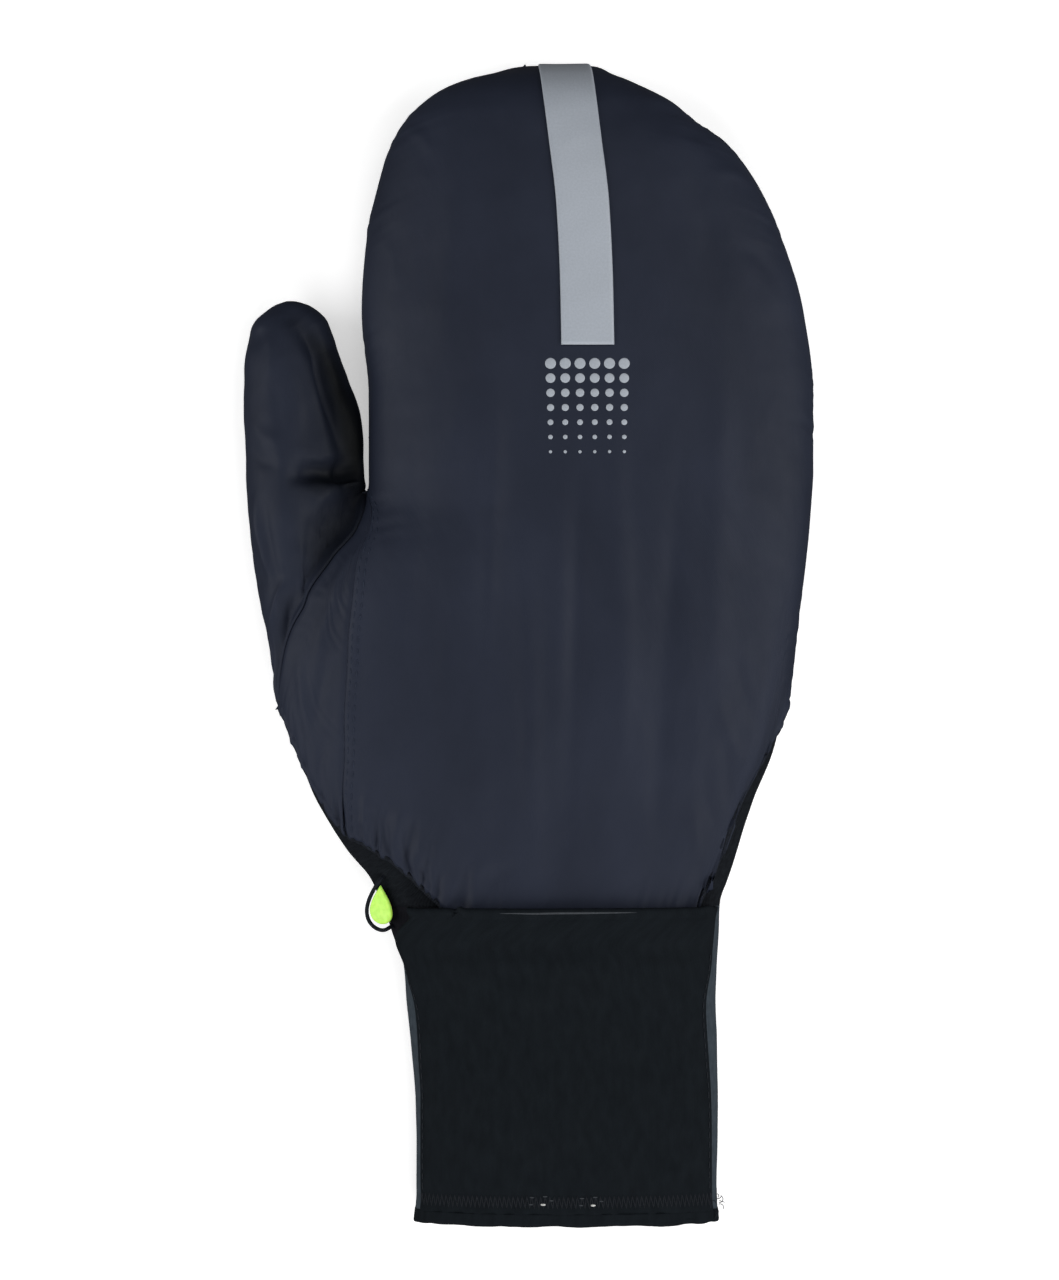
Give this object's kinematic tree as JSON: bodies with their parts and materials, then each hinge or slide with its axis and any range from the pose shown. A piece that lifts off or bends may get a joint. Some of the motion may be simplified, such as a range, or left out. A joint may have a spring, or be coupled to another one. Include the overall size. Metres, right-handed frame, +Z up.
{
  "type": "winter cycling glove",
  "caption": "Right-hand winter cycling glove lying palm down: a dark wind hood with a thumb cover over a black glove with a stretch cuff and a pull tab.",
  "frame": {"origin": "centre of the glove's box, on the surface that it lies on", "axes": "+Y from the cuff to the fingertips, +X from the thumb to the little finger, +Z up out of the back of the hand"},
  "size_m": [0.1427, 0.29, 0.0334],
  "materials": {
    "hood_nylon": "thin coated nylon, satin, soft vertical wrinkles",
    "hem_elastic": "dark ribbed elastic, matt",
    "glove_knit": "black brushed knit, matt",
    "cuff_black": "black stretch weave, matt, zigzag stitched hem",
    "cuff_grey": "charcoal grey stretch fabric, matt",
    "silver_tape": "reflective silver print, fine grain, satin",
    "neon_rubber": "neon yellow-green, soft satin"
  },
  "bodies": {
    "root": {"hood_back": "hood_nylon", "hood_thumb_panel": "hood_nylon", "hood_palm": "hood_nylon", "thumb_cover": "hood_nylon", "hood_hem": "hem_elastic", "glove_hand": "glove_knit", "cuff_tube": "cuff_grey", "cuff_pocket": "cuff_black", "cuff_hem": "cuff_black", "reflective_stripe": "silver_tape", "wrist_tab": "neon_rubber", "tab_loop": "hem_elastic"}
  },
  "joints": []
}
